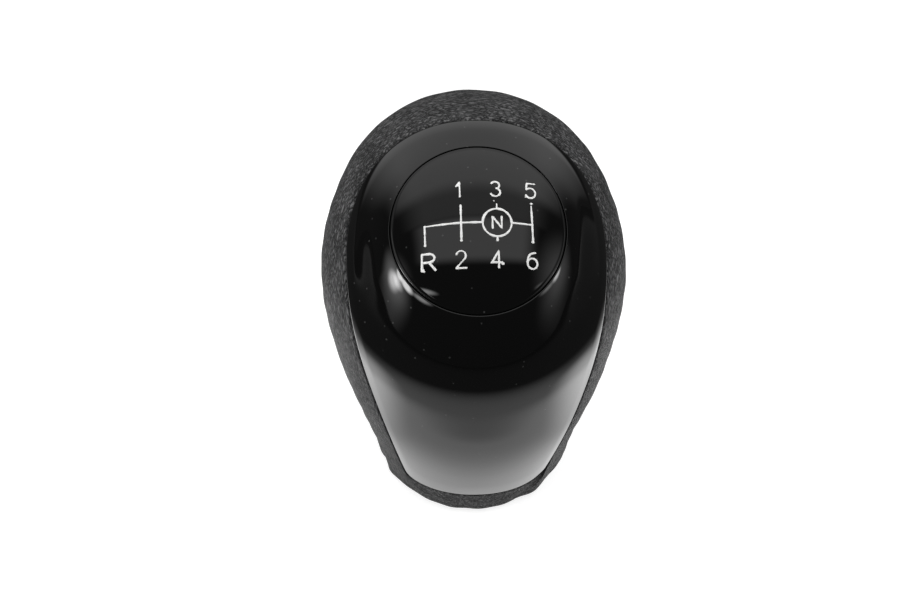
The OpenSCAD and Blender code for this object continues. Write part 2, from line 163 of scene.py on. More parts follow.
def back_reach(z):
    low = ease(z, (0, -NECK_R, -FLARE_BACK, 0), PALM)
    mid = ease(z, PALM, dome_station(PALM_JOIN, -1))
    return np.where(z >= PALM_JOIN, -dome_half(z) - DOME_BACK, np.where(z >= PALM_Z, mid, low))


def half_width(z):
    rise = np.clip((z - WIDE_Z) / (TOP_Z - WIDE_Z), 0, 1)
    low = ease(z, (0, NECK_R, FLARE_SIDE, 1 / NECK_SIDE_R), SIDE_WIDE)
    return np.where(z >= WIDE_Z, HEAD_W / 2 * np.sqrt(1 - rise ** 2), low)


def inside(p):
    z = np.clip(p[..., 2], 0, TOP_Z - 1e-6)
    f, b = front_reach(z), back_reach(z)
    value = (p[..., 0] / half_width(z)) ** 2 + ((p[..., 1] - (f + b) / 2) / ((f - b) / 2)) ** 2
    return (value < 1) & (p[..., 2] < TOP_Z)


def skin_from(start, way, near):
    """Point where a ray from inside the head leaves it."""
    shape = np.broadcast_shapes(start.shape, way.shape)[:-1]
    lo = np.full(shape, float(near))
    hi = np.full(shape, 2 * DOME_R)
    for _ in range(44):
        mid = (lo + hi) / 2
        is_in = inside(start + mid[..., None] * way)
        lo = np.where(is_in, mid, lo)
        hi = np.where(is_in, hi, mid)
    return start + ((lo + hi) / 2)[..., None] * way


def on_plane(q):
    return q[..., :1] * SIDE_WAY + q[..., 1:2] * UP_WAY


def skin_under(q):
    return skin_from(on_plane(q), OUT_WAY, PLANE_INSIDE)


def outwards(p):
    return unit(p - HEART)


# Outline of the trim on its fitting plane, from the top round the right flank to the foot
CROWN_N, FLANK_N, FOOT_N = 96, 64, 44
HALF_N = CROWN_N + FLANK_N + FOOT_N
ROUND_N = 2 * HALF_N
OUTLINE_LEN = OUTLINE_MID - OUTLINE_LOW
FOOT_START = 1 - OUTLINE_CORNER / OUTLINE_LEN


def flank(q):
    return OUTLINE_W - (OUTLINE_W - OUTLINE_FOOT) * q ** 2.1 * (1 + 0.4 * q * (1 - q))


def half_outline():
    a = np.radians(90 * (1 - np.arange(CROWN_N) / CROWN_N))
    power = 2 / CROWN_POWER
    crown = np.stack([OUTLINE_W * np.cos(a).clip(0) ** power,
                      OUTLINE_MID + (OUTLINE_TOP - OUTLINE_MID) * np.sin(a) ** power], -1)
    q = FOOT_START * np.arange(FLANK_N) / FLANK_N
    side = np.stack([flank(q), OUTLINE_MID - q * OUTLINE_LEN], -1)
    u = np.sin(np.radians(90 * np.arange(FOOT_N + 1) / FOOT_N))
    q = FOOT_START + (1 - FOOT_START) * u
    round_off = np.maximum(0, 1 - u ** CROWN_POWER) ** (1 / CROWN_POWER)
    foot = np.stack([flank(q) * round_off, OUTLINE_MID - q * OUTLINE_LEN], -1)
    return np.concatenate([crown, side, foot])


HALF = half_outline()
OUTLINE = np.concatenate([HALF, HALF[-2:0:-1] * [-1, 1]])
DOWN_SHARE = np.clip((OUTLINE_MID - OUTLINE[:, 1]) / OUTLINE_LEN, 0, 1)
OUTLINE[:, 0] += np.where(OUTLINE[:, 0] < 0, LEFT_LAP * np.sin(math.pi * DOWN_SHARE ** 1.3) ** 2, 0)
OUTLINE_WAY = np.roll(OUTLINE, -1, 0) - np.roll(OUTLINE, 1, 0)
OUTLINE_OUT = unit(np.stack([-OUTLINE_WAY[:, 1], OUTLINE_WAY[:, 0]], -1))

DISC_MID = np.array([0, -DOME_BACK, DOME_Z]) + DISC_AXIS * math.sqrt(DOME_R ** 2 - DISC_R ** 2)
RECESS_R = DISC_R + DISC_GAP
FLOOR_DEPTH = DISC_EDGE_T + TAPE_T
WALL_DEPTH = FLOOR_DEPTH + FLOOR_T
FLOOR_R = RECESS_R + 0.8


def rim_angles():
    k = np.arange(HALF_N + 1)
    even = math.pi * k / HALF_N
    radial = np.arctan2(HALF[:, 0], HALF[:, 1] - DISC_MID @ UP_WAY)
    a = (even + radial) / 2
    return np.concatenate([a, -a[-2:0:-1]])


RIM_ANGLE = rim_angles()


def rim_ring(r, depth):
    a = RIM_ANGLE[:, None]
    return DISC_MID + r * (np.sin(a) * SIDE_WAY + np.cos(a) * DISC_UP) - depth * DISC_AXIS


RIM = rim_ring(RECESS_R, 0)
RIM_Q = np.stack([RIM[:, 0], RIM @ UP_WAY], -1)
SPAN = np.linalg.norm(OUTLINE - RIM_Q, axis=1)
SPOKE = unit(OUTLINE - RIM_Q)
UNDER_RIM = skin_under(RIM_Q)
LIFT = RIM - UNDER_RIM - TRIM_PROUD * outwards(UNDER_RIM)
# How far the disc's plane reaches into the face, and where the panel's back starts
FADE_REACH = np.minimum(9, 0.8 * SPAN)
BACK_START = 2 * np.minimum(1, SPAN / 6)


def panel_ring(d):
    """Ring of points on the trim's face at distances d from the recess."""
    p = skin_under(RIM_Q + d[:, None] * SPOKE)
    fade = 1 - smooth(d / FADE_REACH)
    roll = TRIM_ROLL_DROP * np.clip((d - SPAN + TRIM_EDGE_R + TRIM_ROLL) / TRIM_ROLL, 0, 1.4) ** 1.5
    return p + fade[:, None] * LIFT + (TRIM_PROUD - roll[:, None]) * outwards(p)


def panel_way(d, p):
    w = smooth((d - BACK_START) / FADE_REACH)[:, None]
    return unit(DISC_AXIS * (1 - w) + outwards(p) * w)


# Mesh making
def to_world(p):
    return np.asarray(p, float) * [1, -1, 1] * MM


def new_object(name, verts, faces, material, body=BODY, slot=None, replaces=()):
    mesh = bpy.data.meshes.new(name)
    mesh.from_pydata([tuple(v) for v in verts], [], [tuple(int(i) for i in f) for f in faces])
    mesh.update()
    mesh.polygons.foreach_set("use_smooth", [True] * len(mesh.polygons))
    obj = bpy.data.objects.new(name, mesh)
    bpy.context.scene.collection.objects.link(obj)
    mesh.materials.append(material)
    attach(obj, body)
    if replaces:
        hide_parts(*replaces)
    return obj


def ring_faces(m, n, closed=False):
    """Four-sided faces between m rings of n points, seen from outside."""
    rows = m if closed else m - 1
    j, i = np.meshgrid(np.arange(rows), np.arange(n), indexing="ij")
    k, h = (j + 1) % m, (i + 1) % n
    return np.stack([j * n + i, k * n + i, k * n + h, j * n + h], -1).reshape(-1, 4)


def rings_object(name, rings, material, closed=False, caps=(), **kw):
    n = len(rings[0])
    verts = to_world(np.concatenate(rings))
    faces = [tuple(f) for f in ring_faces(len(rings), n, closed=closed)]
    if "first" in caps:
        faces.append(tuple(range(n)))
    if "last" in caps:
        faces.append(tuple(reversed(range((len(rings) - 1) * n, len(rings) * n))))
    return new_object(name, verts, faces, material, **kw)


# Materials
def material(name):
    mat = bpy.data.materials.new(name)
    mat.use_nodes = True
    nodes, links = mat.node_tree.nodes, mat.node_tree.links
    bsdf = nodes["Principled BSDF"]
    return mat, nodes, links, bsdf


def add(nodes, kind, **values):
    node = nodes.new(kind)
    for key, value in values.items():
        if key in node.inputs:
            node.inputs[key].default_value = value
        else:
            setattr(node, key, value)
    return node


def ramp_node(nodes, links, value, start, end, low=0.0, high=1.0, kind="SMOOTHSTEP"):
    node = add(nodes, "ShaderNodeMapRange", interpolation_type=kind)
    links.new(value, node.inputs["Value"])
    for key, v in (("From Min", start), ("From Max", end), ("To Min", low), ("To Max", high)):
        node.inputs[key].default_value = v
    return node.outputs["Result"]


# Vertex attribute of the skin: place on a cylinder round the trim, so that the grain runs along its border
STRETCH = "stretch"
# Grain: cells per metre and the share of a cell that its crease takes
COARSE_CELLS = (1500.0, 0.4)
PEBBLES = (2900.0, 0.45)
# Tones of the creases and of the cell tops: the dark crease tone is painted shade, where the creases would
# shadow themselves
PAINTED_CREASE_SHADE, TOP_TONE = (0.008, 0.008, 0.0084, 1), (0.2, 0.2, 0.202, 1)


def leather_material():
    """Creased grain of two cell sizes, with painted shade darkening the creases, random tone patches and a
    fine tooth on the tops.
    """
    mat, nodes, links, bsdf = material("leather_grain")
    coord = add(nodes, "ShaderNodeTexCoord")
    stretch = add(nodes, "ShaderNodeAttribute", attribute_name=STRETCH)
    warp = add(nodes, "ShaderNodeTexNoise", Scale=900.0, Detail=2.0)
    shift = add(nodes, "ShaderNodeMixRGB", blend_type="LINEAR_LIGHT", Fac=0.0007)
    links.new(stretch.outputs["Vector"], warp.inputs["Vector"])
    links.new(stretch.outputs["Vector"], shift.inputs["Color1"])
    links.new(warp.outputs["Color"], shift.inputs["Color2"])

    def cells(scale, width):
        edge = add(nodes, "ShaderNodeTexVoronoi", feature="DISTANCE_TO_EDGE", Scale=scale)
        links.new(shift.outputs["Color"], edge.inputs["Vector"])
        return ramp_node(nodes, links, edge.outputs["Distance"], 0.0, width)

    def total(a, b, share):
        node = add(nodes, "ShaderNodeMath", operation="MULTIPLY_ADD")
        node.inputs[1].default_value = share
        links.new(a, node.inputs[0])
        links.new(b, node.inputs[2])
        return node.outputs["Value"]

    coarse, pebbles = cells(*COARSE_CELLS), cells(*PEBBLES)
    fine = add(nodes, "ShaderNodeTexNoise", Scale=5200.0, Detail=3.0, Roughness=0.6)
    links.new(coord.outputs["Object"], fine.inputs["Vector"])
    patches = add(nodes, "ShaderNodeTexNoise", Scale=260.0, Detail=4.0, Roughness=0.6)
    links.new(coord.outputs["Object"], patches.inputs["Vector"])
    height = total(pebbles, total(fine.outputs["Fac"], coarse, 0.25), 0.4)
    bump = add(nodes, "ShaderNodeBump", Strength=1.0, Distance=0.0003)
    links.new(height, bump.inputs["Height"])
    links.new(bump.outputs["Normal"], bsdf.inputs["Normal"])
    # Base colour darker in the creases as painted shade, mixed with random tone patches
    shade = ramp_node(nodes, links, total(patches.outputs["Fac"], height, 0.7), 0.5, 2.0, kind="LINEAR")
    tone = add(nodes, "ShaderNodeValToRGB")
    tone.color_ramp.elements[0].color = PAINTED_CREASE_SHADE
    tone.color_ramp.elements[1].color = TOP_TONE
    links.new(shade, tone.inputs["Fac"])
    links.new(tone.outputs["Color"], bsdf.inputs["Base Color"])
    rough = ramp_node(nodes, links, pebbles, 0.0, 1.0, 0.7, 0.45, kind="LINEAR")
    links.new(rough, bsdf.inputs["Roughness"])
    bsdf.inputs["Specular IOR Level"].default_value = 0.3
    return mat


# Dust on the gloss pieces: radii as shares of a cell, and the tone of the larger motes
SPECK_R, MOTE_R, MOTE_TONE = 0.12, 0.09, 0.06


def gloss_material(name, base, rough, speck):
    """Polished black plastic with matt specks, pale motes and a slight wave."""
    mat, nodes, links, bsdf = material(name)
    bsdf.inputs["IOR"].default_value = 1.58
    coord = add(nodes, "ShaderNodeTexCoord")
    dust = add(nodes, "ShaderNodeTexVoronoi", Scale=900.0, Randomness=1.0)
    links.new(coord.outputs["Object"], dust.inputs["Vector"])
    spots = ramp_node(nodes, links, dust.outputs["Distance"], 0.0, SPECK_R, speck, rough, kind="LINEAR")
    links.new(spots, bsdf.inputs["Roughness"])
    motes = add(nodes, "ShaderNodeTexVoronoi", Scale=420.0, Randomness=1.0)
    links.new(coord.outputs["Object"], motes.inputs["Vector"])
    pale = ramp_node(nodes, links, motes.outputs["Distance"], 0.0, MOTE_R, MOTE_TONE, base, kind="LINEAR")
    links.new(pale, bsdf.inputs["Base Color"])
    wave = add(nodes, "ShaderNodeTexNoise", Scale=60.0, Detail=1.0)
    links.new(coord.outputs["Object"], wave.inputs["Vector"])
    bump = add(nodes, "ShaderNodeBump", Strength=0.05, Distance=0.0001)
    links.new(wave.outputs["Fac"], bump.inputs["Height"])
    links.new(bump.outputs["Normal"], bsdf.inputs["Normal"])
    return mat


ROUGH_SPREAD = 0.06


def plain_material(name, color, rough, metal=0.0, scale=900.0, bump_by=0.00003):
    mat, nodes, links, bsdf = material(name)
    coord = add(nodes, "ShaderNodeTexCoord")
    noise = add(nodes, "ShaderNodeTexNoise", Scale=scale, Detail=4.0)
    links.new(coord.outputs["Object"], noise.inputs["Vector"])
    tone = add(nodes, "ShaderNodeValToRGB")
    tone.color_ramp.elements[0].position = 0.3
    tone.color_ramp.elements[1].position = 0.7
    tone.color_ramp.elements[0].color = tuple(c * 0.85 for c in color) + (1,)
    tone.color_ramp.elements[1].color = tuple(color) + (1,)
    links.new(noise.outputs["Fac"], tone.inputs["Fac"])
    links.new(tone.outputs["Color"], bsdf.inputs["Base Color"])
    spread = ramp_node(nodes, links, noise.outputs["Fac"], 0.0, 1.0, rough - ROUGH_SPREAD,
                       rough + ROUGH_SPREAD, kind="LINEAR")
    links.new(spread, bsdf.inputs["Roughness"])
    bsdf.inputs["Metallic"].default_value = metal
    bump = add(nodes, "ShaderNodeBump", Strength=0.4, Distance=bump_by)
    links.new(noise.outputs["Fac"], bump.inputs["Height"])
    links.new(bump.outputs["Normal"], bsdf.inputs["Normal"])
    return mat


LEATHER = leather_material()
TRIM_GLOSS = gloss_material("trim_gloss_black", 0.0015, 0.035, 0.12)
DISC_GLOSS = gloss_material("disc_gloss_black", 0.0015, 0.03, 0.12)
MARK_WHITE = plain_material("mark_fill", (0.88, 0.88, 0.87), 0.45, scale=4000.0)
CORE_PLASTIC = plain_material("core_moulded", (0.05, 0.05, 0.05), 0.55)
RING_PLASTIC = plain_material("ring_moulded", (0.02, 0.02, 0.021), 0.5)
TAPE_FOAM = plain_material("tape_foam", (0.6, 0.6, 0.57), 0.8, bump_by=0.0001)
SCREW_STEEL = plain_material("screw_zinc", (0.55, 0.55, 0.57), 0.32, metal=1.0)
INSERT_BRASS = plain_material("insert_turned", (0.72, 0.52, 0.25), 0.3, metal=1.0)


# Front trim
BACK_N = 12


def make_trim():
    near = np.concatenate([np.linspace(0, 0.6, 5), np.linspace(0.8, 4.2, 14)])
    squeeze = np.minimum(1, SPAN / 14)
    rings = [rim_ring(RECESS_R, FLOOR_DEPTH), rim_ring(RECESS_R + 0.02, 0.12)]
    rings += [panel_ring(near[k] * squeeze) for k in range(1, len(near))]
    last = near[-1] * squeeze
    end = SPAN - TRIM_EDGE_R
    shares = np.concatenate([np.linspace(0, 0.86, 45)[1:], np.linspace(0.86, 1, 15)[1:]])
    for share in shares:
        rings.append(panel_ring(last + (end - last) * share))
    for a in np.radians(np.arange(10, 91, 10)):
        d = SPAN - TRIM_EDGE_R * (1 - math.sin(a))
        p = panel_ring(d)
        rings.append(p - TRIM_EDGE_R * (1 - math.cos(a)) * outwards(p))
    p = panel_ring(SPAN)
    rings.append(p - TRIM_T * outwards(p))
    for k in range(BACK_N - 1, -1, -1):
        d = BACK_START + (SPAN - BACK_START) * k / BACK_N
        p = panel_ring(d)
        rings.append(p - TRIM_T * panel_way(d, p))
    rings.append(rim_ring(FLOOR_R, WALL_DEPTH))
    return rings_object("trim_panel", rings, TRIM_GLOSS, caps=("first", "last"),
                        slot="trim_gloss", replaces=["front_trim"])


# Pattern disc
DOME_CENTRE_DEPTH = math.sqrt(DISC_DOME_R ** 2 - DISC_R ** 2)


def dome_height(r):
    return np.sqrt(DISC_DOME_R ** 2 - r ** 2) - DOME_CENTRE_DEPTH


def disc_points(p, q, h):
    return DISC_MID + p[..., None] * SIDE_WAY + q[..., None] * DISC_UP + h[..., None] * DISC_AXIS


def make_disc():
    n = 256
    a = np.linspace(0, 2 * math.pi, n, endpoint=False)
    profile = [(0.02, -DISC_EDGE_T), (DISC_R - 0.2, -DISC_EDGE_T),
               (DISC_R, -DISC_EDGE_T + 0.2), (DISC_R, -0.6)]
    flat = DISC_R + DISC_BEAD - DISC_EDGE_R
    edge_h = float(dome_height(flat))
    for t in np.radians(np.arange(0, 91, 15)):
        profile.append((flat + DISC_EDGE_R * math.cos(t), edge_h - DISC_EDGE_R * (1 - math.sin(t))))
    for r in flat * (1 - np.linspace(0, 1, 40)[1:-1]):
        profile.append((float(r), float(dome_height(r))))
    rings = []
    for r, h in reversed(profile):
        rings.append(disc_points(r * np.sin(a), r * np.cos(a), np.full(n, h)))
    return rings_object("disc_cap", rings, DISC_GLOSS, caps=("first", "last"),
                        slot="disc_gloss", replaces=["pattern_disc"])


# Shift pattern marks: strokes as lists of points in the disc's plane, in millimetres
COLUMNS = {"left": -8.95, "one": -2.95, "three": 3.05, "five": 8.95}
ROW_TOP, ROW_MID, ROW_LOW = 6.2, 0.1, -6.1
DIGIT_H, DIGIT_W = 2.75, 1.7
STROKE_W = 0.34


def arc(cx, cy, rx, ry, a0, a1, n=24):
    t = np.radians(np.linspace(a0, a1, n))
    return [(cx + rx * math.cos(v), cy + ry * math.sin(v)) for v in t]


# Glyphs fill a box from -0.5 to 0.5 across and up
GLYPHS = {
    "1": [[(-0.32, 0.22), (0.02, 0.5), (0.02, -0.5)]],
    "2": [arc(0, 0.22, 0.46, 0.28, 160, -38) + [(-0.48, -0.5), (0.5, -0.5)]],
    "3": [arc(-0.02, 0.26, 0.42, 0.24, 150, -80) + arc(-0.02, -0.22, 0.48, 0.28, 80, -155)],
    "4": [[(0.5, -0.2), (-0.5, -0.2), (0.16, 0.5), (0.16, -0.5)]],
    "5": [[(0.44, 0.5), (-0.34, 0.5), (-0.42, 0.06)] + arc(-0.02, -0.16, 0.5, 0.34, 128, -150)],
    "6": [[(0.3, 0.5)] + arc(0.12, -0.12, 0.62, 0.6, 112, 180, 10) + arc(0, -0.18, 0.48, 0.32, 180, 540, 36)],
    "R": [[(-0.45, -0.5), (-0.45, 0.5), (0.05, 0.5)] + arc(0.05, 0.24, 0.4, 0.26, 90, -90)
          + [(-0.45, -0.02)], [(0.05, -0.02), (0.5, -0.5)]],
    "N": [[(-0.45, -0.5), (-0.45, 0.5), (0.45, -0.5), (0.45, 0.5)]],
}


def glyph(name, cx, cy, w, h):
    return [[(cx + x * w, cy + y * h) for x, y in stroke] for stroke in GLYPHS[name]]


RING_R = 2.42
LINE_W, RING_W, R_W, TICK_W = 0.33, 0.36, 0.46, 0.3


def pattern_strokes():
    c = COLUMNS
    strokes = []
    for name, column, row, high in (("1", "one", ROW_TOP, 1.0), ("3", "three", ROW_TOP, 1.0),
                                    ("5", "five", ROW_TOP, 1.0), ("2", "one", ROW_LOW, 1.02),
                                    ("4", "three", ROW_LOW, 0.98), ("6", "five", ROW_LOW, 0.96)):
        for s in glyph(name, c[column] - 0.12, row, DIGIT_W, DIGIT_H * high):
            strokes.append((s, STROKE_W))
    for s in glyph("R", c["left"] + 0.45, ROW_LOW - 0.05, 2.3, 2.65):
        strokes.append((s, R_W))
    for s in glyph("N", c["three"], ROW_MID, 1.7, 2.0):
        strokes.append((s, LINE_W))
    strokes.append((arc(c["three"], ROW_MID, RING_R, RING_R, 0, 360, 72), RING_W))
    strokes.append(([(c["left"], -3.4), (c["left"] - 0.05, -0.15),
                     (c["one"], ROW_MID), (c["three"] - RING_R, ROW_MID)], LINE_W))
    strokes.append(([(c["three"] + RING_R, ROW_MID), (c["five"], ROW_MID - 0.15)], LINE_W))
    strokes.append(([(c["one"], 3.2), (c["one"], -2.9)], STROKE_W))
    strokes.append(([(c["five"] - 0.1, 3.3), (c["five"] + 0.05, -2.95)], LINE_W))
    strokes.append(([(c["three"], 3.35), (c["three"], 2.6)], 0.26))
    strokes.append(([(c["three"], -2.6), (c["three"], -3.0)], TICK_W))
    return strokes


# Paint that ran over the engraving, as round blots: place and radius
BLOTS = [((-2.95, -2.95), 0.26), ((8.98, -3.0), 0.22), ((-8.95, -3.4), 0.25), ((-8.98, -0.15), 0.2),
         ((-2.95, 0.1), 0.26), ((8.9, 3.75), 0.2), ((2.6, 3.95), 0.12), ((3.05, -3.0), 0.2),
         ((-3.3, 7.0), 0.26), ((-3.1, 7.25), 0.24), ((-9.45, -7.4), 0.28), ((-9.2, -7.6), 0.2),
         ((3.85, -6.85), 0.2), ((2.0, -6.7), 0.18), ((8.0, 4.95), 0.13)]


def resample(points, step):
    p = np.array(points, float)
    seg = np.linalg.norm(np.diff(p, axis=0), axis=1)
    s = np.concatenate([[0], np.cumsum(seg)])
    n = max(2, int(round(s[-1] / step)) + 1)
    t = np.linspace(0, s[-1], n)
    t = np.unique(np.concatenate([t, s]))
    t = t[np.concatenate([[True], np.diff(t) > step * 0.2])]
    return np.stack([np.interp(t, s, p[:, 0]), np.interp(t, s, p[:, 1])], -1)


MARK_RAISE = 0.05


def stroke_mesh(points, width, first):
    """Low ridge of paint along a stroke, with round ends, lying on the domed face."""
    p = resample(points, 0.12)
    t = unit(np.gradient(p, axis=0))
    cross = np.stack([-t[:, 1], t[:, 0]], -1)
    wobble = 1 + 0.14 * np.convolve(rng.normal(size=len(p) + 8), np.ones(9) / 3, "valid")
    half = width / 2 * np.clip(wobble, 0.7, 1.35)
    cap = np.radians([70, 35])
    lead = [(p[0] - t[0] * half[0] * math.sin(a), cross[0], half[0] * math.cos(a)) for a in cap]
    tail = [(p[-1] + t[-1] * half[-1] * math.sin(a), cross[-1], half[-1] * math.cos(a)) for a in cap[::-1]]
    body = [(p[k], cross[k], half[k]) for k in range(len(p))]
    rows = []
    section = [(-1, -0.03), (-0.8, 0.7), (0, 1.0), (0.8, 0.7), (1, -0.03)]
    for centre, side, w in lead + body + tail:
        row = []
        for x, lift in section:
            q = centre + side * w * x
            row.append((q[0], q[1], lift * MARK_RAISE))
        rows.append(row)
    rows = np.array(rows)
    h = dome_height(np.hypot(rows[..., 0], rows[..., 1])) + rows[..., 2]
    verts = to_world(disc_points(rows[..., 0], rows[..., 1], h).reshape(-1, 3))
    m, k = rows.shape[:2]
    faces = []
    for j in range(m - 1):
        for i in range(k - 1):
            a = first + j * k + i
            faces.append((a, a + 1, a + k + 1, a + k))
        row, after = first + j * k, first + (j + 1) * k
        faces.append((row + k - 1, row, after, after + k - 1))
    faces.append(tuple(first + i for i in reversed(range(k))))
    faces.append(tuple(first + (m - 1) * k + i for i in range(k)))
    return verts, faces


def make_marks():
    verts, faces = [], []
    blots = [([(x - 0.03, y), (x + 0.03, y)], 2 * r) for (x, y), r in BLOTS]
    for points, width in pattern_strokes() + blots:
        v, f = stroke_mesh(points, width, sum(len(x) for x in verts))
        verts.append(v)
        faces += f
    return new_object("pattern_marks", np.concatenate(verts), faces, MARK_WHITE, slot="disc_gloss")


# Leather skin
HEM_TOP = RING_T + HEM_R
BASE_ANGLE = math.pi * np.arange(ROUND_N) / HALF_N
BASE_WAY = np.stack([np.sin(BASE_ANGLE), -np.cos(BASE_ANGLE), 0 * BASE_ANGLE], -1)
SKIN_N = 190
STRETCH_R = 16.0


def base_ring_points(z):
    f, b, w = float(front_reach(np.array(z))), float(back_reach(np.array(z))), float(half_width(np.array(z)))
    return np.stack([w * np.sin(BASE_ANGLE), (f + b) / 2 - (f - b) / 2 * np.cos(BASE_ANGLE),
                     np.full(ROUND_N, float(z))], -1)


# Unevenness of the hand-pulled hem: angle round the base from the front in degrees, width, outward shift
HEM_BUMPS = [(0, 55, 0.45), (-68, 4, -0.3), (-60, 5, 0.15), (-12, 7, 0.15), (70, 6, 0.35),
             (60, 4, 0.15), (50, 5, -0.2), (39, 5, 0.25), (29, 5, -0.15), (110, 12, 0.3),
             (150, 10, -0.3), (-120, 14, 0.3), (-160, 9, -0.25)]


def hem_shift():
    a = 180 - np.degrees(BASE_ANGLE)
    total = 0.08 * np.sin(np.radians(11 * a)) + 0.05 * np.sin(np.radians(23 * a + 40))
    for at, width, shift in HEM_BUMPS:
        total = total + shift * np.exp(-((a - at) / width) ** 2)
    return total


RUMPLE_H = 0.035


def rumple(p):
    """Slow waves in the stretched skin, in millimetres."""
    x, f, z = p[..., 0], p[..., 1], p[..., 2]
    slanted = np.sin(0.9 * x + 0.7 * f + 1.1 * np.sin(0.6 * z))
    crossing = np.sin(1.3 * z - 0.8 * f + 0.9 * np.sin(0.8 * x))
    return RUMPLE_H * (slanted + crossing)


def make_leather():
    edge = skin_under(OUTLINE + TRIM_GAP * OUTLINE_OUT)
    a, b = outwards(edge), outwards(base_ring_points(HEM_TOP))
    w = np.arccos(np.clip((a * b).sum(-1), -1, 1))
    length = w * np.linalg.norm(edge - HEART, axis=1)
    squeeze = np.minimum(1, length / 8)
    near = np.array([0, 0.06, 0.15, 0.28, 0.45, 0.7, 1.0, 1.4, 2.1])
    share = [near[k] * squeeze / length for k in range(len(near))]
    for k in range(1, SKIN_N):
        share.append(share[len(near) - 1] + (1 - share[len(near) - 1]) * k / SKIN_N)
    outer, inner = [], []
    for k, t in enumerate(share):
        t = t[:, None]
        way = (np.sin((1 - t) * w[:, None]) * a + np.sin(t * w[:, None]) * b) / np.sin(w)[:, None]
        p = skin_from(HEART, unit(way), 5)
        x = np.clip(t[:, 0] * length / (TUCK_W * squeeze), 0, 1)
        dip = TUCK_DEPTH * squeeze * (1 - np.sqrt(np.clip(1 - (1 - x) ** 2, 0, 1)))
        low = smooth((14 - p[:, 2]) / 11) * smooth(t[:, 0] * length / 3)
        swell = rumple(p) * smooth(t[:, 0] * length / 2) + hem_shift() * low
        outer.append(p - dip[:, None] * outwards(p) + swell[:, None] * BASE_WAY)
        if k % 12 == 0:
            inner.append(p - LEATHER_T * outwards(p))
    hem = base_ring_points(HEM_TOP)
    for ang in np.radians(np.arange(0, 91, 9)):
        fade = smooth(np.array(math.cos(ang) * 1.1))
        outer.append(hem - (HEM_R - HEM_R * math.cos(ang)) * BASE_WAY - [0, 0, HEM_R * math.sin(ang)]
                     + (fade * (hem_shift() + rumple(hem)))[:, None] * BASE_WAY)
    lip_r = RING_D / 2 - HEM_LIP
    for z in (RING_T, RING_T + LEATHER_T):
        ring = BASE_WAY * lip_r
        outer.append(ring + [0, 0, z])
    rise = HEM_R - LEATHER_T
    for ang in np.radians([90, 45, 0]):
        outer.append(hem - (HEM_R - rise * math.cos(ang)) * BASE_WAY - [0, 0, rise * math.sin(ang)])
    rings = outer + inner[::-1]
    skin = rings_object("leather_skin", rings, LEATHER, closed=True, slot="leather",
                        replaces=["leather_cover"])
    place = np.zeros((len(rings), ROUND_N, 3))
    across = np.zeros(ROUND_N)
    for k, ring in enumerate(rings):
        if k:
            across = across + np.linalg.norm(ring - rings[k - 1], axis=1)
        place[k] = np.stack([STRETCH_R * np.cos(BASE_ANGLE), STRETCH_R * np.sin(BASE_ANGLE), across], -1)
    layer = skin.data.attributes.new(STRETCH, "FLOAT_VECTOR", "POINT")
    layer.data.foreach_set("vector", (place * MM).ravel())
    return skin


# Threaded bush: turned outside with two locking grooves, tapped inside
THREAD_PITCH, THREAD_DEPTH = 1.25, 0.62
CREST, FLANK_SLOPE = 1.15, 2.6
MOUTH_CHAMFER, RUN_OUT, DRILL_TIP = 0.8, 2.0, 2.0
GROOVE_HALF, GROOVE_DEPTH, INSERT_EDGE = 1.5, 0.6, 0.3
AXIS_R = 0.05


def make_insert():
    n, m = 96, int(THREAD_LEN / THREAD_PITCH * 10)
    a = np.linspace(0, 2 * math.pi, n, endpoint=False)

    def level(r, z):
        return np.stack([r * np.sin(a), r * np.cos(a), np.full(n, float(z))], -1)

    def bore(z):
        phase = (z / THREAD_PITCH - a / (2 * math.pi)) % 1
        cut = np.clip(CREST - FLANK_SLOPE * np.abs(phase - 0.5), 0, 1)
        lead = np.clip((MOUTH_CHAMFER - z) / MOUTH_CHAMFER, 0, 1) * THREAD_DEPTH
        run_out = np.clip((THREAD_LEN - z) / RUN_OUT, 0, 1)
        r = THREAD_R + np.maximum(THREAD_DEPTH * cut * run_out, lead)
        return level(1, z) * np.stack([r, r, 0 * a + 1], -1)

    rings = [level(AXIS_R, THREAD_LEN + DRILL_TIP)]
    rings += [bore(THREAD_LEN * (1 - k / m)) for k in range(m + 1)]
    low = INSERT_R - GROOVE_DEPTH
    profile = [(INSERT_R - INSERT_EDGE, 0.0), (INSERT_R, INSERT_EDGE)]
    for z in (INSERT_H / 3, 2 * INSERT_H / 3):
        profile += [(INSERT_R, z - GROOVE_HALF), (low, z - GROOVE_HALF + 0.02),
                    (low, z + GROOVE_HALF - 0.02), (INSERT_R, z + GROOVE_HALF)]
    profile += [(INSERT_R, INSERT_H - INSERT_EDGE), (INSERT_R - INSERT_EDGE, INSERT_H), (AXIS_R, INSERT_H)]
    rings += [level(r, z) for r, z in profile]
    bush = rings_object("thread_bush", rings, INSERT_BRASS, caps=("first", "last"), slot="insert_brass",
                        replaces=["thread_insert"])
    flat_by_angle(bush, 30)
    return bush


def flat_by_angle(obj, degrees):
    """Keep edges sharper than an angle crisp and the rest smooth."""
    mesh = obj.data
    bm = bmesh.new()
    bm.from_mesh(mesh)
    for edge in bm.edges:
        if len(edge.link_faces) == 2 and edge.calc_face_angle(0.0) > math.radians(degrees):
            edge.smooth = False
    bm.to_mesh(mesh)
    bm.free()


make_trim()
make_disc()
make_insert()
make_marks()
make_leather()

for name, mat in (("core", CORE_PLASTIC), ("disc_tape", TAPE_FOAM), ("trim_screws", SCREW_STEEL),
                  ("base_ring", RING_PLASTIC)):
    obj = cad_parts[name]
    obj.data.materials.clear()
    obj.data.materials.append(mat)


# Stage: pale floor with a pool of light, a studio room and the camera at the photograph's angle
def math_node(nodes, links, operation, *values):
    node = add(nodes, "ShaderNodeMath", operation=operation)
    for k, v in enumerate(values):
        if isinstance(v, (int, float)):
            node.inputs[k].default_value = v
        else:
            links.new(v, node.inputs[k])
    return node.outputs["Value"]


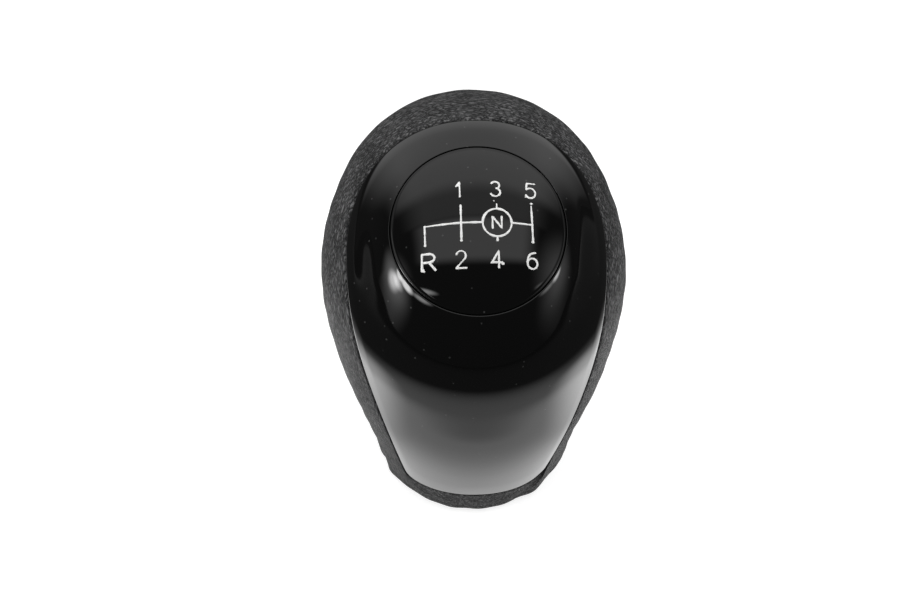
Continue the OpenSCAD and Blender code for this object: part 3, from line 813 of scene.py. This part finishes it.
def band(nodes, links, value, rise, fall):
    """1 between the two ramps rise = (start, end) and fall = (start, end), 0 outside them."""
    up = ramp_node(nodes, links, value, *rise)
    down = ramp_node(nodes, links, value, *fall, 1.0, 0.0)
    return math_node(nodes, links, "MULTIPLY", up, down)


# Floor: distances from the lever axis in metres, shares of the full tone and glow
FLOOR_FADE = (0.055, 0.11)
FLOOR_TONE = (0.5, 0.06)
FLOOR_GLOW = 0.76
FLOOR_HALF = 3.0
# The pool of light in reflections: fade to its rim, then to nothing, and its shade next to the object
POOL_FADE, POOL_END = (0.052, 0.062), (0.07, 0.11)
POOL_RIM = 0.25
POOL_START = (0.016, 0.03)
POOL_SHADE = 0.9
# Brighter floor to the left and right: place, inner and outer radius, strength
SIDE_POOL_AT = (0.056, 0.015, 0)
SIDE_POOL_R = (0.00465, 0.031)
SIDE_POOL_LIGHT = 2.0


def make_floor():
    """White floor with a pool of light round the object, dark in reflections further out."""
    mat, nodes, links, bsdf = material("floor_white")
    bsdf.inputs["Roughness"].default_value = 0.9
    bsdf.inputs["Specular IOR Level"].default_value = 0.0
    bsdf.inputs["Emission Color"].default_value = (1, 1, 1, 1)
    path = nodes.new("ShaderNodeLightPath")
    coord = nodes.new("ShaderNodeTexCoord")
    length = add(nodes, "ShaderNodeVectorMath", operation="LENGTH")
    links.new(coord.outputs["Object"], length.inputs[0])
    far = length.outputs["Value"]
    tone = nodes.new("ShaderNodeCombineColor")
    grey = ramp_node(nodes, links, far, *FLOOR_FADE, *FLOOR_TONE)
    for channel in ("Red", "Green", "Blue"):
        links.new(grey, tone.inputs[channel])
    links.new(tone.outputs["Color"], bsdf.inputs["Base Color"])
    pool = ramp_node(nodes, links, far, *POOL_FADE, 1.0, POOL_RIM)
    edge = ramp_node(nodes, links, far, *POOL_END)
    inner = ramp_node(nodes, links, far, *POOL_START, POOL_SHADE, 1.0)
    pool = math_node(nodes, links, "MULTIPLY", pool, inner)
    pool = math_node(nodes, links, "MULTIPLY", pool, math_node(nodes, links, "SUBTRACT", 1.0, edge))
    folded = add(nodes, "ShaderNodeVectorMath", operation="ABSOLUTE")
    links.new(coord.outputs["Object"], folded.inputs[0])
    beside = add(nodes, "ShaderNodeVectorMath", operation="DISTANCE")
    links.new(folded.outputs["Vector"], beside.inputs[0])
    beside.inputs[1].default_value = SIDE_POOL_AT
    patch = ramp_node(nodes, links, beside.outputs["Value"], *SIDE_POOL_R, SIDE_POOL_LIGHT, 0.0)
    pool = math_node(nodes, links, "ADD", pool, patch)
    mirror = math_node(nodes, links, "MAXIMUM", path.outputs["Is Glossy Ray"],
                       path.outputs["Is Transmission Ray"])
    mirrored = math_node(nodes, links, "MULTIPLY", mirror, pool)
    backdrop = ramp_node(nodes, links, far, *FLOOR_FADE, FLOOR_GLOW, 1.0)
    seen = math_node(nodes, links, "MULTIPLY", path.outputs["Is Camera Ray"], backdrop)
    links.new(math_node(nodes, links, "MAXIMUM", seen, mirrored), bsdf.inputs["Emission Strength"])
    mesh = bpy.data.meshes.new("floor")
    corners = [(x * FLOOR_HALF, y * FLOOR_HALF, 0) for x, y in ((-1, -1), (1, -1), (1, 1), (-1, 1))]
    mesh.from_pydata(corners, [], [(0, 1, 2, 3)])
    floor = bpy.data.objects.new("floor", mesh)
    mesh.materials.append(mat)
    bpy.context.scene.collection.objects.link(floor)


# Room: angles in degrees over the top from the front horizon, then to the side
ROOM_DIM = 0.05
# Bands of light across it: rise and fall over the top, fade to the side, strength
ROOM_LIGHTS = [
    ((53, 61), (84, 89), (30, 44), 0.76),
    ((85, 90), (104, 118), (30, 50), 0.34),
    ((104, 118), (176, 180), (32, 60), 0.78),
]
# Lamps: start, end, half width, where they fade (1 is at their ends and sides), strength
ROOM_LAMPS = [
    ((26, -74), (43, -58), 6, (0.3, 1.3), 7.0),
    ((42, -66), (36, -54), 5, (0.3, 1.3), 5.0),
    ((54, -58), (42, -53), 3.5, (0.4, 1.2), 10.0),
    ((45, -55), (36, -42), 3.8, (0.4, 1.2), 12.0),
    ((36, -44), (33, -26), 2.0, (0.2, 1.2), 3.5),
    ((20, -84), (42, -46), 18, (0.0, 1.2), 2.0),
    ((56, 62), (41, 53), 3.5, (0.4, 1.2), 7.0),
    ((42, 56), (35, 40), 2.2, (0.2, 1.2), 1.8),
    ((25, 80), (50, 40), 24, (0.0, 1.2), 0.8),
]


def sky_way(over, side):
    """Direction from its angle over the top from the front horizon and its angle to the side."""
    a, b = math.radians(over), math.radians(side)
    return Vector((math.sin(b), -math.cos(b) * math.cos(a), math.cos(b) * math.sin(a)))


def glow(nodes, links, way, start, end, width, fade, strength):
    """Long soft lamp on the room's walls, from one direction to another."""
    a, b = sky_way(*start), sky_way(*end)
    middle, along = (a + b).normalized(), (b - a).normalized()
    across = middle.cross(along)
    parts = []
    for axis, reach in ((along, (b - a).length / 2), (across, math.sin(math.radians(width)))):
        dot = add(nodes, "ShaderNodeVectorMath", operation="DOT_PRODUCT")
        links.new(way, dot.inputs[0])
        dot.inputs[1].default_value = axis / reach
        parts.append(math_node(nodes, links, "POWER", dot.outputs["Value"], 2.0))
    ahead = add(nodes, "ShaderNodeVectorMath", operation="DOT_PRODUCT")
    links.new(way, ahead.inputs[0])
    ahead.inputs[1].default_value = middle
    out = math_node(nodes, links, "SQRT", math_node(nodes, links, "ADD", *parts))
    level = ramp_node(nodes, links, out, *fade, strength, 0.0)
    facing = math_node(nodes, links, "GREATER_THAN", ahead.outputs["Value"], 0.0)
    return math_node(nodes, links, "MULTIPLY", level, facing)


def make_room():
    """World light: a dim room with bands of light overhead and behind, and long soft lamps."""
    world = bpy.data.worlds.new("room")
    bpy.context.scene.world = world
    world.use_nodes = True
    nodes, links = world.node_tree.nodes, world.node_tree.links
    back = nodes["Background"]
    coord = nodes.new("ShaderNodeTexCoord")
    split = nodes.new("ShaderNodeSeparateXYZ")
    links.new(coord.outputs["Generated"], split.inputs[0])
    front = math_node(nodes, links, "MULTIPLY", split.outputs["Y"], -1.0)
    over = math_node(nodes, links, "ARCTAN2", split.outputs["Z"], front)
    over = math_node(nodes, links, "MULTIPLY", over, 180 / math.pi)
    side = math_node(nodes, links, "ARCSINE", math_node(nodes, links, "ABSOLUTE", split.outputs["X"]))
    side = math_node(nodes, links, "MULTIPLY", side, 180 / math.pi)
    level = ROOM_DIM
    for rise, fall, width, strength in ROOM_LIGHTS:
        along = band(nodes, links, over, rise, fall)
        across = ramp_node(nodes, links, side, *width, 1.0, 0.0)
        patch = math_node(nodes, links, "MULTIPLY", along, across)
        patch = math_node(nodes, links, "MULTIPLY", patch, strength)
        level = math_node(nodes, links, "ADD", patch, level)
    for lamp in ROOM_LAMPS:
        level = math_node(nodes, links, "ADD", glow(nodes, links, coord.outputs["Generated"], *lamp), level)
    path = nodes.new("ShaderNodeLightPath")
    mix = math_node(nodes, links, "MAXIMUM", level, path.outputs["Is Camera Ray"])
    links.new(mix, back.inputs["Strength"])
    back.inputs["Color"].default_value = (1, 1, 1, 1)


make_floor()
make_room()

# Fill lamps: the point they face and their distance from it in metres
LAMP_AIM = (0, 0, 0.03)
LAMP_DIST = 1.0
# Direction, size in metres and radiance of each
FILL_LAMPS = {
    "fill_lamp": ((0.0, -0.3, 1.0), (0.8, 0.6), 2.4),
    "fill_left": ((-1.0, 0.1, 0.25), (0.5, 0.4), 9.0),
    "fill_right": ((1.0, 0.1, 0.25), (0.5, 0.4), 10.0),
}


def area_light(name, way, distance, size, radiance):
    """Soft lamp of an even radiance, at a distance along a direction from the object."""
    data = bpy.data.lights.new(name, "AREA")
    data.shape = "RECTANGLE"
    data.size, data.size_y = size
    data.energy = radiance * math.pi * size[0] * size[1]
    obj = bpy.data.objects.new(name, data)
    way = Vector(way).normalized()
    obj.location = Vector(LAMP_AIM) + way * distance
    obj.rotation_euler = way.to_track_quat("Z", "Y").to_euler()
    bpy.context.scene.collection.objects.link(obj)
    return obj


# Left out of mirror reflections, as diffused light from a ceiling and walls would be
for name, (way, size, radiance) in FILL_LAMPS.items():
    area_light(name, way, LAMP_DIST, size, radiance).visible_glossy = False

# Camera solved against the photograph: metres, degrees, pixels, and the sensor in millimetres
CAM_DIST = 0.70
CAM_AIM = (0.0, 0.0, 0.028)
CAM_AZ, CAM_EL, CAM_ROLL = -3.3, 46.8, 1.6
PX_PER_MM = 5.785
IMAGE_W, IMAGE_H = 920, 613
AIM_X, AIM_Y = 473.9, 334.2
SENSOR = 36.0


def make_camera():
    data = bpy.data.cameras.new("camera")
    data.sensor_width = SENSOR
    data.lens = PX_PER_MM * CAM_DIST / MM * SENSOR / IMAGE_W
    data.clip_start = 0.01
    data.shift_x = (IMAGE_W / 2 - AIM_X) / IMAGE_W
    data.shift_y = (AIM_Y - IMAGE_H / 2) / IMAGE_W
    cam = bpy.data.objects.new("camera", data)
    az, el = math.radians(CAM_AZ), math.radians(CAM_EL)
    back = Vector((math.sin(az) * math.cos(el), -math.cos(az) * math.cos(el), math.sin(el)))
    turn = back.to_track_quat("Z", "Y").to_matrix().to_4x4() @ Matrix.Rotation(math.radians(CAM_ROLL), 4, "Z")
    cam.matrix_world = Matrix.Translation(Vector(CAM_AIM) + back * CAM_DIST) @ turn
    bpy.context.scene.collection.objects.link(cam)
    bpy.context.scene.camera = cam


make_camera()

scene = bpy.context.scene
scene.view_settings.view_transform = "Standard"
